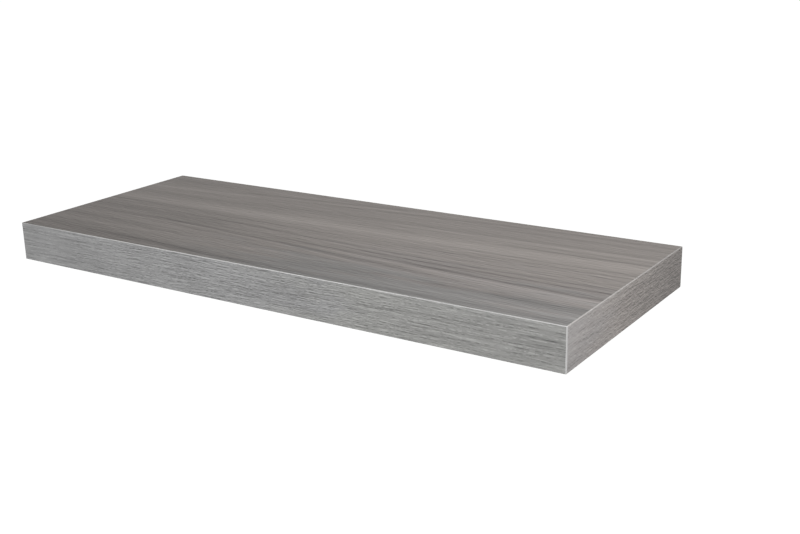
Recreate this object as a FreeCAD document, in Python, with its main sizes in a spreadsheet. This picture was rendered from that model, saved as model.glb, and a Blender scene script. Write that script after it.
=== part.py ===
import FreeCAD, Part
import math
import os
import Sketcher

# Floating wall shelf. A hollow-core board with a wood decor slides onto two steel rods,
# which are riveted into a flat plate that is screwed to the wall. Two grub screws in
# the underside of the board hold it on the rods.
#
# Origin: the middle of the wall plate, on the wall's face. +X runs along the shelf,
# +Y points into the wall and +Z up. The rods lie at the middle of the board's height.

# Driving dimensions, in millimetres
SIZES = {
    # Board
    "board_length": 600.0,
    "board_depth": 235.0,
    "board_thickness": 38.0,
    "laminate_thickness": 0.3,
    "skin_thickness": 3.0,
    "band_thickness": 1.0,
    "band_edge_bevel": 0.45,
    "band_corner_bevel": 0.9,
    # Inner frame
    "front_rail_width": 30.0,
    "end_rail_width": 30.0,
    "centre_rail_width": 30.0,
    "rear_rail_width": 40.0,
    "rod_block_width": 40.0,
    "channel_depth": 3.5,
    # Honeycomb cores
    "core_cell_side": 14.0,
    "core_strip_thickness": 0.4,
    "core_fit_gap": 0.2,
    # Frame staples
    "staple_crown": 12.0,
    "staple_leg": 8.0,
    "staple_wire_width": 1.2,
    "staple_wire_thickness": 0.7,
    # Wall plate, whose length leaves a gap to the end rails
    "plate_end_gap": 49.0,
    "plate_height": 28.0,
    "plate_thickness": 3.0,
    "plate_corner_cut": 4.0,
    "hole_end_inset": 20.0,
    "slot_rod_spacing": 40.0,
    "screw_hole_diameter": 5.5,
    "slot_length": 12.0,
    "countersink_depth": 1.8,
    # Support rods
    "rod_end_inset": 60.0,
    "rod_diameter": 12.0,
    "rod_length": 140.0,
    "rod_nose_bevel": 1.5,
    "tenon_diameter": 8.0,
    "rivet_flare": 1.0,
    "bore_clearance": 0.05,
    "bore_end_gap": 3.0,
    "bore_lead_in": 1.5,
    # Threaded inserts
    "insert_inset": 75.0,
    "insert_length": 10.0,
    "insert_diameter": 9.0,
    "insert_flange_diameter": 13.0,
    "insert_flange_thickness": 1.0,
    # Locking screws
    "screw_diameter": 6.0,
    "screw_length": 10.0,
    "screw_end_bevel": 0.8,
    "screw_clearance": 0.05,
    "screw_rod_gap": 0.3,
    "socket_width": 3.0,
    "socket_depth": 3.5,
    # Length that every cutting tool runs past the faces it cuts
    "cut_overrun": 1.0,
}

doc = FreeCAD.newDocument("FloatingShelf")
sheet = doc.addObject("Spreadsheet::Sheet", "Sizes")
for row, (alias, size) in enumerate(SIZES.items(), start=1):
    sheet.set(f"A{row}", str(size))
    sheet.setAlias(f"A{row}", alias)
doc.recompute()

# The finished sub-parts by name, filled as they are made
pieces = {}

SIDES = (("left", -1), ("right", 1))

# A rectangle's corners in turn, each by its side on the two axes
ALL_CORNERS = ((1, 1), (-1, 1), (-1, -1), (1, -1))

# Angle between a countersink's wall and the hole's axis, in degrees
COUNTERSINK_TAPER = -45

# Places that several pieces share, worked out from the driving dimensions
CORE_HALF_LENGTH = "(Sizes.board_length / 2 - Sizes.band_thickness)"
CORE_FRONT = "(Sizes.band_thickness - Sizes.board_depth)"
CORE_HALF_HEIGHT = "(Sizes.board_thickness / 2 - Sizes.laminate_thickness - Sizes.skin_thickness)"
SKIN_OUTSIDE = "(Sizes.board_thickness / 2 - Sizes.laminate_thickness)"
BOARD_OUTSIDE = "(Sizes.board_thickness / 2)"
END_RAIL_INSIDE = f"({CORE_HALF_LENGTH} - Sizes.end_rail_width)"
FRONT_RAIL_BACK = f"({CORE_FRONT} + Sizes.front_rail_width)"
REAR_RAIL_BACK = "(-Sizes.channel_depth)"
REAR_RAIL_FRONT = "(-Sizes.channel_depth - Sizes.rear_rail_width)"
HALF_CENTRE_RAIL = "(Sizes.centre_rail_width / 2)"
HALF_PLATE_LENGTH = f"({END_RAIL_INSIDE} - Sizes.plate_end_gap)"
HALF_HOLE_SPACING = f"({HALF_PLATE_LENGTH} - Sizes.hole_end_inset)"
HALF_ROD_SPACING = f"({HALF_PLATE_LENGTH} - Sizes.rod_end_inset)"
HALF_SLOT_SPACING = f"({HALF_ROD_SPACING} - Sizes.slot_rod_spacing)"
BLOCK_INSIDE = f"({HALF_ROD_SPACING} - Sizes.rod_block_width / 2)"
BLOCK_OUTSIDE = f"({HALF_ROD_SPACING} + Sizes.rod_block_width / 2)"
ROD_RADIUS = "(Sizes.rod_diameter / 2)"
ROD_END = "(-Sizes.plate_thickness - Sizes.rod_length)"
BORE_RADIUS = f"({ROD_RADIUS} + Sizes.bore_clearance)"
SCREW_TIP = f"(-{ROD_RADIUS} - Sizes.screw_rod_gap)"
SCREW_FOOT = f"({SCREW_TIP} - Sizes.screw_length)"


def value(expression):
    """The number that an expression of the sheet's sizes has now."""
    return float(sheet.evalExpression(expression))


def name_piece(item, name):
    """Give a finished sub-part the label that names its file."""
    item.Label = name
    pieces[name] = item
    return item


def place(item, **expressions):
    """Bind the item's place on the named axes."""
    for axis, expression in expressions.items():
        item.setExpression(f"Placement.Base.{axis}", expression)


def add_box(name, x, y, z):
    """A box between a low and a high expression on each axis."""
    box = doc.addObject("Part::Box", name)
    for size, axis, (low, high) in (("Length", "x", x), ("Width", "y", y), ("Height", "z", z)):
        box.setExpression(size, f"{high} - {low}")
        box.setExpression(f"Placement.Base.{axis}", low)
    return box


def add_sketch(body, name, role, offset=None):
    """A sketch on one of the body's own origin planes, moved along the plane's normal."""
    sketch = body.newObject("Sketcher::SketchObject", name)
    plane = [feature for feature in body.Origin.OriginFeatures if feature.Role == role][0]
    sketch.AttachmentSupport = (plane, [""])
    sketch.MapMode = "FlatFace"
    if offset:
        sketch.setExpression("AttachmentOffset.Base.z", offset)
    return sketch


def bind_constraint(sketch, kind, where, expression):
    """Add one constraint whose number follows the expression."""
    index = sketch.addConstraint(Sketcher.Constraint(kind, *where, value(expression)))
    sketch.setExpression(f"Constraints[{index}]", expression)


def bind_point(sketch, geometry, vertex, across, up):
    """Hold a vertex at two distances from the sketch's origin."""
    bind_constraint(sketch, "DistanceX", (-1, 1, geometry, vertex), across)
    bind_constraint(sketch, "DistanceY", (-1, 1, geometry, vertex), up)


def draw_polygon(sketch, points):
    """A closed outline through points that are given as pairs of expressions."""
    corners = [FreeCAD.Vector(value(across), value(up), 0) for across, up in points]
    count = len(points)
    lines = [Part.LineSegment(corners[i], corners[(i + 1) % count]) for i in range(count)]
    first = sketch.addGeometry(lines, False)[0]
    for i in range(count):
        following = first + (i + 1) % count
        sketch.addConstraint(Sketcher.Constraint("Coincident", first + i, 2, following, 1))
    for i, (across, up) in enumerate(points):
        bind_point(sketch, first + i, 1, across, up)


def draw_circle(sketch, across, radius):
    """A circle on the sketch's horizontal axis."""
    centre = FreeCAD.Vector(value(across), 0, 0)
    circle = sketch.addGeometry(Part.Circle(centre, FreeCAD.Vector(0, 0, 1), value(radius)), False)
    bind_constraint(sketch, "Radius", (circle,), radius)
    bind_point(sketch, circle, 3, across, "0")


def draw_slot(sketch, across, half_run, radius):
    """A round-ended slot along the sketch's horizontal axis, about the point across."""
    middle, run, round_end = value(across), value(half_run), value(radius)
    normal = FreeCAD.Vector(0, 0, 1)
    quarter = math.pi / 2
    right_circle = Part.Circle(FreeCAD.Vector(middle + run, 0, 0), normal, round_end)
    left_circle = Part.Circle(FreeCAD.Vector(middle - run, 0, 0), normal, round_end)
    right = sketch.addGeometry(Part.ArcOfCircle(right_circle, -quarter, quarter), False)
    left = sketch.addGeometry(Part.ArcOfCircle(left_circle, quarter, 3 * quarter), False)
    ends = {}
    for side, height in (("top", round_end), ("bottom", -round_end)):
        low = FreeCAD.Vector(middle - run, height, 0)
        high = FreeCAD.Vector(middle + run, height, 0)
        ends[side] = sketch.addGeometry(Part.LineSegment(low, high), False)
    for first, first_end, second, second_end in (
        (right, 2, ends["top"], 2),
        (ends["top"], 1, left, 1),
        (left, 2, ends["bottom"], 1),
        (ends["bottom"], 2, right, 1),
    ):
        sketch.addConstraint(
            Sketcher.Constraint("Tangent", first, first_end, second, second_end)
        )
    sketch.addConstraint(Sketcher.Constraint("Equal", right, left))
    bind_constraint(sketch, "Radius", (right,), radius)
    bind_point(sketch, right, 3, f"{across} + {half_run}", "0")
    bind_point(sketch, left, 3, f"{across} - {half_run}", "0")


def add_pad(body, name, sketch, length, midplane=False):
    """Extrude a sketch, to one side of it or evenly to both."""
    pad = body.newObject("PartDesign::Pad", name)
    pad.Profile = sketch
    pad.Midplane = midplane
    pad.setExpression("Length", length)
    return pad


def add_pocket(body, name, sketch, depth, taper=0, reverse=False):
    """Cut a sketch into the body, against the sketch's normal unless reversed."""
    pocket = body.newObject("PartDesign::Pocket", name)
    pocket.Profile = sketch
    pocket.Reversed = reverse
    pocket.TaperAngle = taper
    pocket.setExpression("Length", depth)
    return pocket


def add_turned(name, plane, points):
    """A body turned from a half outline whose second coordinate runs along its axis."""
    body = doc.addObject("PartDesign::Body", name)
    sketch = add_sketch(body, f"{name}_outline", plane)
    draw_polygon(sketch, points)
    turn = body.newObject("PartDesign::Revolution", f"{name}_turn")
    turn.Profile = sketch
    turn.ReferenceAxis = (sketch, ["V_Axis"])
    return body


def add_cut(name, base, tools):
    """The base with the tools taken out of it."""
    cut = doc.addObject("Part::Cut", name)
    cut.Base = base
    cut.Tool = tools[0] if len(tools) == 1 else add_group(f"{name}_tools", tools)
    return cut


def add_group(name, items):
    """Separate solids held in one object."""
    group = doc.addObject("Part::Compound", name)
    group.Links = items
    return group


def bevelled(low, high, bevel, corners=ALL_CORNERS):
    """A rectangle between its low and high corners, with the named corners cut off."""
    points = []
    for across, up in ALL_CORNERS:
        corner_x = high[0] if across > 0 else low[0]
        corner_y = high[1] if up > 0 else low[1]
        beside = (corner_x, f"{corner_y} - ({up}) * {bevel}")
        above = (f"{corner_x} - ({across}) * {bevel}", corner_y)
        if (across, up) not in corners:
            points.append((corner_x, corner_y))
        else:
            points += [beside, above] if across == up else [above, beside]
    return points


def add_prism(name, role, outline, length, midplane=False):
    """A body that is one outline, extruded."""
    body = doc.addObject("PartDesign::Body", name)
    sketch = add_sketch(body, f"{name}_outline", role)
    draw_polygon(sketch, outline)
    add_pad(body, f"{name}_pad", sketch, length, midplane)
    return body


def mirrored(low, high, sign):
    """The low and high expressions of a range on the left or the right side."""
    return (low, high) if sign > 0 else (f"-{high}", f"-{low}")


# Steel bracket


def make_rod(side, sign):
    """A round rod with a bevelled nose and a tenon that is riveted into the plate."""
    tenon = "Sizes.tenon_diameter / 2"
    outline = [
        ("0", "0"),
        (f"{tenon} + Sizes.rivet_flare", "0"),
        (tenon, "-Sizes.rivet_flare"),
        (tenon, "-Sizes.plate_thickness"),
        (ROD_RADIUS, "-Sizes.plate_thickness"),
        (ROD_RADIUS, f"{ROD_END} + Sizes.rod_nose_bevel"),
        (f"{ROD_RADIUS} - Sizes.rod_nose_bevel", ROD_END),
        ("0", ROD_END),
    ]
    name = f"{side}_support_rod"
    rod = add_turned(name, "XY_Plane", outline)
    place(rod, x=f"{sign} * {HALF_ROD_SPACING}")
    return name_piece(rod, name)


def make_wall_plate(rods):
    """A flat bar with cut corners, two countersunk holes and two countersunk slots."""
    low = (f"-{HALF_PLATE_LENGTH}", "-Sizes.plate_height / 2")
    high = (HALF_PLATE_LENGTH, "Sizes.plate_height / 2")
    outline = bevelled(low, high, "Sizes.plate_corner_cut")
    body = add_prism("wall_plate_blank", "XZ_Plane", outline, "Sizes.plate_thickness")

    hole = "Sizes.screw_hole_diameter / 2"
    slot_run = f"(Sizes.slot_length / 2 - {hole})"
    widened = f"{hole} + Sizes.countersink_depth"
    through = add_sketch(body, "screw_hole_outlines", "XZ_Plane")
    sunk = add_sketch(body, "countersink_outlines", "XZ_Plane", "Sizes.plate_thickness")
    for _, sign in SIDES:
        hole_place = f"{sign} * {HALF_HOLE_SPACING}"
        slot_place = f"{sign} * {HALF_SLOT_SPACING}"
        draw_circle(through, hole_place, hole)
        draw_circle(sunk, hole_place, widened)
        draw_slot(through, slot_place, slot_run, hole)
        draw_slot(sunk, slot_place, slot_run, widened)
    depth = "Sizes.plate_thickness + Sizes.cut_overrun"
    add_pocket(body, "screw_holes", through, depth, reverse=True)
    add_pocket(body, "countersinks", sunk, "Sizes.countersink_depth", taper=COUNTERSINK_TAPER)
    return name_piece(add_cut("wall_plate", body, rods), "wall_plate")


# Locking screws and their inserts


def make_insert_seat(side, sign):
    """The space that an insert takes, carried on up to the middle of the rod's bore."""
    flange = "Sizes.insert_flange_diameter / 2"
    barrel = "Sizes.insert_diameter / 2"
    flange_top = f"Sizes.insert_flange_thickness - {BOARD_OUTSIDE}"
    outline = [
        ("0", f"-{BOARD_OUTSIDE} - Sizes.cut_overrun"),
        (flange, f"-{BOARD_OUTSIDE} - Sizes.cut_overrun"),
        (flange, flange_top),
        (barrel, flange_top),
        (barrel, "0"),
        ("0", "0"),
    ]
    seat = add_turned(f"{side}_insert_seat", "XZ_Plane", outline)
    place(seat, x=f"{sign} * {HALF_ROD_SPACING}", y="-Sizes.insert_inset")
    return seat


def make_insert(side, sign):
    """A flanged threaded sleeve, its flange flush with the underside of the board."""
    thread = "Sizes.screw_diameter / 2 + Sizes.screw_clearance"
    flange = "Sizes.insert_flange_diameter / 2"
    barrel = "Sizes.insert_diameter / 2"
    flange_top = f"Sizes.insert_flange_thickness - {BOARD_OUTSIDE}"
    outline = [
        (thread, f"-{BOARD_OUTSIDE}"),
        (flange, f"-{BOARD_OUTSIDE}"),
        (flange, flange_top),
        (barrel, flange_top),
        (barrel, f"Sizes.insert_length - {BOARD_OUTSIDE}"),
        (thread, f"Sizes.insert_length - {BOARD_OUTSIDE}"),
    ]
    name = f"{side}_threaded_insert"
    insert = add_turned(name, "XZ_Plane", outline)
    place(insert, x=f"{sign} * {HALF_ROD_SPACING}", y="-Sizes.insert_inset")
    return name_piece(insert, name)


def make_locking_screw(side, sign):
    """A grub screw with bevelled ends and a hexagon socket in its foot."""
    radius = "Sizes.screw_diameter / 2"
    bevel = "Sizes.screw_end_bevel"
    outline = [
        ("0", SCREW_TIP),
        (f"{radius} - {bevel}", SCREW_TIP),
        (radius, f"{SCREW_TIP} - {bevel}"),
        (radius, f"{SCREW_FOOT} + {bevel}"),
        (f"{radius} - {bevel}", SCREW_FOOT),
        ("0", SCREW_FOOT),
    ]
    name = f"{side}_locking_screw"
    screw = add_turned(name, "XZ_Plane", outline)
    socket = add_sketch(screw, f"{name}_socket_outline", "XY_Plane", SCREW_FOOT)
    reach = "Sizes.socket_width / sqrt(3)"
    flats = [(f"{reach} * cos({60 * i})", f"{reach} * sin({60 * i})") for i in range(6)]
    draw_polygon(socket, flats)
    add_pocket(screw, f"{name}_socket", socket, "Sizes.socket_depth", reverse=True)
    place(screw, x=f"{sign} * {HALF_ROD_SPACING}", y="-Sizes.insert_inset")
    return name_piece(screw, name)


# Inner frame


def make_staples():
    """One staple across each joint of the frame, on its top and on its underside.

    The turns are in degrees: about the upright axis, and over onto the staple's back.
    """
    half_crown = "Sizes.staple_crown / 2"
    inside = f"({half_crown} - Sizes.staple_wire_width)"
    wire = "Sizes.staple_wire_thickness"
    outline = [
        (f"-({half_crown})", "0"),
        (half_crown, "0"),
        (half_crown, "-Sizes.staple_leg"),
        (inside, "-Sizes.staple_leg"),
        (inside, f"-{wire}"),
        (f"-{inside}", f"-{wire}"),
        (f"-{inside}", "-Sizes.staple_leg"),
        (f"-({half_crown})", "-Sizes.staple_leg"),
    ]
    staple = add_prism("staple", "YZ_Plane", outline, "Sizes.staple_wire_width", midplane=True)

    end_joint = f"({END_RAIL_INSIDE} + Sizes.end_rail_width / 2)"
    rear_middle = f"({REAR_RAIL_BACK} - Sizes.rear_rail_width / 2)"
    along_depth = [(f"{sign} * {end_joint}", FRONT_RAIL_BACK) for _, sign in SIDES]
    for across in (f"-{HALF_ROD_SPACING}", "0", HALF_ROD_SPACING):
        along_depth += [(across, FRONT_RAIL_BACK), (across, REAR_RAIL_FRONT)]
    along_length = [(f"{sign} * {END_RAIL_INSIDE}", rear_middle) for _, sign in SIDES]
    links = []
    for turn, joints in ((0, along_depth), (90, along_length)):
        for joint_x, joint_y in joints:
            for face, flip in ((CORE_HALF_HEIGHT, 0), (f"-{CORE_HALF_HEIGHT}", 180)):
                link = doc.addObject("App::Link", f"staple_{len(links) + 1}")
                link.LinkedObject = staple
                link.Placement.Rotation = FreeCAD.Rotation(turn, flip, 0)
                place(link, x=joint_x, y=joint_y, z=face)
                links.append(link)
    return name_piece(add_group("frame_staples", links), "frame_staples")


def make_bore(side, sign):
    """The bore for a rod, with a lead-in cone where the rod enters the rear rail."""
    shaft = doc.addObject("Part::Cylinder", f"{side}_bore_shaft")
    shaft.setExpression("Radius", BORE_RADIUS)
    shaft.setExpression("Height", f"Sizes.bore_end_gap - {ROD_END}")
    cone = doc.addObject("Part::Cone", f"{side}_bore_lead_in")
    cone.setExpression("Radius1", f"{BORE_RADIUS} + Sizes.bore_lead_in")
    cone.setExpression("Radius2", BORE_RADIUS)
    cone.setExpression("Height", "Sizes.bore_lead_in")
    for tool, start in ((shaft, "0"), (cone, REAR_RAIL_BACK)):
        tool.Placement.Rotation = FreeCAD.Rotation(FreeCAD.Vector(1, 0, 0), 90)
        place(tool, x=f"{sign} * {HALF_ROD_SPACING}", y=start)
    bore = doc.addObject("Part::Fuse", f"{side}_bore")
    bore.Base, bore.Tool = shaft, cone
    return bore


def make_rails(staples, bores, seats):
    """The rails and the two rod blocks, which run the full height between the skins."""
    height = (f"-{CORE_HALF_HEIGHT}", CORE_HALF_HEIGHT)
    whole_length = (f"-{CORE_HALF_LENGTH}", CORE_HALF_LENGTH)
    between_ends = (f"-{END_RAIL_INSIDE}", END_RAIL_INSIDE)
    between_rails = (FRONT_RAIL_BACK, REAR_RAIL_FRONT)
    blanks = {
        "front_rail": (whole_length, (CORE_FRONT, FRONT_RAIL_BACK), []),
        "rear_rail": (between_ends, (REAR_RAIL_FRONT, REAR_RAIL_BACK), list(bores.values())),
        "centre_rail": ((f"-{HALF_CENTRE_RAIL}", HALF_CENTRE_RAIL), between_rails, []),
    }
    for side, sign in SIDES:
        end_range = mirrored(END_RAIL_INSIDE, CORE_HALF_LENGTH, sign)
        block_range = mirrored(BLOCK_INSIDE, BLOCK_OUTSIDE, sign)
        blanks[f"{side}_rail"] = (end_range, (FRONT_RAIL_BACK, "0"), [])
        blanks[f"{side}_rod_block"] = (block_range, between_rails, [bores[side], seats[side]])
    for name, (x, y, tools) in blanks.items():
        blank = add_box(f"{name}_blank", x, y, height)
        name_piece(add_cut(name, blank, [staples] + tools), name)


# Honeycomb cores


def strip_outline(low_corner, side, rise, thick, periods, flipped):
    """One folded paper strip, seen from above, that runs in folds along Y.

    A fold has a flat, a slope, a flat on the other level and a slope back. The strip's
    two faces are the middle line moved half the paper's thickness to each side.
    """
    slope = math.atan2(rise, side / 2)
    mitre = thick / 2 * math.tan(slope / 2)
    bends = []
    for period in range(periods):
        start = 3 * side * period
        bends += [(start + side / 2, 0, 1), (start + side, rise, 1)]
        bends += [(start + 2 * side, rise, -1), (start + 5 * side / 2, 0, -1)]
    end = 3 * side * periods
    upper = [(0, thick / 2)]
    upper += [(along - way * mitre, level + thick / 2) for along, level, way in bends]
    upper += [(end, thick / 2)]
    lower = [(0, -thick / 2)]
    lower += [(along + way * mitre, level - thick / 2) for along, level, way in bends]
    lower += [(end, -thick / 2)]
    points = []
    for along, level in upper + lower[::-1]:
        across = rise - level if flipped else level
        points.append(FreeCAD.Vector(across + thick / 2, along, 0) + low_corner)
    return points


def make_core(name, x, y):
    """The paper honeycomb of one bay: folded strips that are glued flat to flat."""
    gap = value("Sizes.core_fit_gap")
    thick = value("Sizes.core_strip_thickness")
    wanted_side = value("Sizes.core_cell_side")
    low_x, high_x = value(x[0]) + gap, value(x[1]) - gap
    low_y, high_y = value(y[0]) + gap, value(y[1]) - gap
    half_height = value(CORE_HALF_HEIGHT)
    periods = max(1, round((high_y - low_y) / (3 * wanted_side)))
    side = (high_y - low_y) / (3 * periods)
    wanted_rise = wanted_side * math.sqrt(3) / 2
    strips = max(1, round((high_x - low_x) / (wanted_rise + thick)))
    pitch = (high_x - low_x) / strips
    solids = []
    for index in range(strips):
        corner = FreeCAD.Vector(low_x + index * pitch, low_y, -half_height)
        points = strip_outline(corner, side, pitch - thick, thick, periods, index % 2 == 1)
        face = Part.Face(Part.makePolygon(points + points[:1]))
        solids.append(face.extrude(FreeCAD.Vector(0, 0, 2 * half_height)))
    core = doc.addObject("Part::Feature", name)
    core.Shape = Part.makeCompound(solids)
    core.Placement = FreeCAD.Placement()
    return name_piece(core, name)


def make_cores():
    """One honeycomb core in each of the four bays of the frame."""
    depth = (FRONT_RAIL_BACK, REAR_RAIL_FRONT)
    for side, sign in SIDES:
        outer = mirrored(BLOCK_OUTSIDE, END_RAIL_INSIDE, sign)
        inner = mirrored(HALF_CENTRE_RAIL, BLOCK_INSIDE, sign)
        make_core(f"{side}_outer_core", outer, depth)
        make_core(f"{side}_inner_core", inner, depth)


# Skins, laminates and edge bands


def make_faces(seats):
    """The fibreboard skins and the decor laminates, from the wall to the front band."""
    across = (f"-{CORE_HALF_LENGTH}", CORE_HALF_LENGTH)
    depth = (CORE_FRONT, "0")
    layers = (("skin", CORE_HALF_HEIGHT, SKIN_OUTSIDE), ("laminate", SKIN_OUTSIDE, BOARD_OUTSIDE))
    for layer, inside, outside in layers:
        name_piece(add_box(f"top_{layer}", across, depth, (inside, outside)), f"top_{layer}")
        name = f"bottom_{layer}"
        blank = add_box(f"{name}_blank", across, depth, (f"-{outside}", f"-{inside}"))
        name_piece(add_cut(name, blank, list(seats.values())), name)


def make_front_band():
    """The front band, which also covers the front ends of the end bands.

    It is what three outlines have in common: the band seen from above, from the end and
    from the front.
    """
    left, right = "-Sizes.board_length / 2", "Sizes.board_length / 2"
    front, back = "-Sizes.board_depth", CORE_FRONT
    bottom, top = f"-{BOARD_OUTSIDE}", BOARD_OUTSIDE
    rim = "Sizes.band_edge_bevel"
    front_corners = [(1, -1), (-1, -1)]
    front_edges = [(-1, 1), (-1, -1)]
    plan = bevelled((left, front), (right, back), "Sizes.band_corner_bevel", front_corners)
    section = bevelled((front, bottom), (back, top), rim, front_edges)
    face = bevelled((left, bottom), (right, top), rim)
    band = doc.addObject("Part::MultiCommon", "front_edge_band")
    band.Shapes = [
        add_prism("front_band_plan", "XY_Plane", plan, "Sizes.board_thickness", midplane=True),
        add_prism("front_band_section", "YZ_Plane", section, "Sizes.board_length", midplane=True),
        add_prism("front_band_face", "XZ_Plane", face, "Sizes.board_depth"),
    ]
    return name_piece(band, "front_edge_band")


def make_end_band(side, sign):
    """An end band, from the wall to the back of the front band."""
    inner, outer = mirrored(CORE_HALF_LENGTH, "(Sizes.board_length / 2)", sign)
    low, high = (inner, f"-{BOARD_OUTSIDE}"), (outer, BOARD_OUTSIDE)
    outline = bevelled(low, high, "Sizes.band_edge_bevel", [(sign, 1), (sign, -1)])
    name = f"{side}_edge_band"
    return name_piece(add_prism(name, "XZ_Plane", outline, f"-{CORE_FRONT}"), name)


# The whole shelf

rods = [make_rod(side, sign) for side, sign in SIDES]
make_wall_plate(rods)
staples = make_staples()
bores = {side: make_bore(side, sign) for side, sign in SIDES}
seats = {side: make_insert_seat(side, sign) for side, sign in SIDES}
make_rails(staples, bores, seats)
make_cores()
make_faces(seats)
make_front_band()
for side, sign in SIDES:
    make_end_band(side, sign)
    make_insert(side, sign)
    make_locking_screw(side, sign)
doc.recompute()

# Nothing is written unless every object is sound
failed = [item.Name for item in doc.Objects if {"Invalid", "Error"} & set(item.State)]
for name, item in pieces.items():
    if item.Shape.isNull() or not item.Shape.isValid():
        failed.append(name)
if failed:
    raise RuntimeError(f"these objects are not sound: {failed}")

os.makedirs("parts", exist_ok=True)
for name, item in pieces.items():
    item.Shape.exportStep(f"parts/{name}.step")
    print(f"{name}: {len(item.Shape.Solids)} solids, {item.Shape.Volume:.1f} mm3")
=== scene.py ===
"""The looks of a floating wall shelf with a grey oak decor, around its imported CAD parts.

Every length is in metres unless its name says otherwise. The shelf runs along X, its back lies
on the wall's face at y = 0, its front faces -Y, and z = 0 is the middle of its thickness.
"""

import math
from typing import NamedTuple

import bpy
from mathutils import Matrix, Quaternion, Vector


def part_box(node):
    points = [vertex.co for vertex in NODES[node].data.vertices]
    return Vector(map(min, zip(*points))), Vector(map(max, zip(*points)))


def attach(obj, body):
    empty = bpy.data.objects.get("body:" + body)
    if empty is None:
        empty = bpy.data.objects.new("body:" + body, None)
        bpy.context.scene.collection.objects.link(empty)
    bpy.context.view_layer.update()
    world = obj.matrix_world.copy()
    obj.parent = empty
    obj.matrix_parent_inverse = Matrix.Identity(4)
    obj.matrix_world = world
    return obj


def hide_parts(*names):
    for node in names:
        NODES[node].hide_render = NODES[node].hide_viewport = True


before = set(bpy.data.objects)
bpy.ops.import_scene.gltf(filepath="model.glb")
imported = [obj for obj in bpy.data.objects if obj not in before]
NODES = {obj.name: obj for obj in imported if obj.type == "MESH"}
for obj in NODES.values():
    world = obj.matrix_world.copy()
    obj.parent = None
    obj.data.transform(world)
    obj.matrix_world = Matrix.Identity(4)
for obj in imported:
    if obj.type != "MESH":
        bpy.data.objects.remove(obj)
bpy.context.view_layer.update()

# The photograph's frame, in pixels
IMAGE_WIDTH = 800
IMAGE_HEIGHT = 534
SENSOR_WIDTH_MM = 36.0

# The camera, solved from the shelf's edges in the photograph
CAMERA_PLACE = Vector((0.64606, -0.98056, 0.32361))
CAMERA_AZIMUTH = math.radians(34.8)
CAMERA_ELEVATION = math.radians(17.404)
CAMERA_ROLL = math.radians(1.67)
FOCAL_PIXELS = 1183.1
OPTICAL_CENTRE_PIXELS = (372.0, 266.0)

# The board's own size, read from the frame
LOW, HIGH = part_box("top_laminate")
BOARD_LENGTH = HIGH[0] - LOW[0]
BOARD_DEPTH = HIGH[1] - LOW[1]
BOARD_THICKNESS = 2 * HIGH[2]


class Streak(NamedTuple):
    """One streak of the printed grain: a line across a face, its half width, and its tone.

    The line's points are a share of the face's length and a share of its width. It fades at
    both ends, unless it starts or ends at the edge. A tone of 0.1 is a tenth lighter.
    """

    line: tuple
    half_width: float
    tone: float


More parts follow.
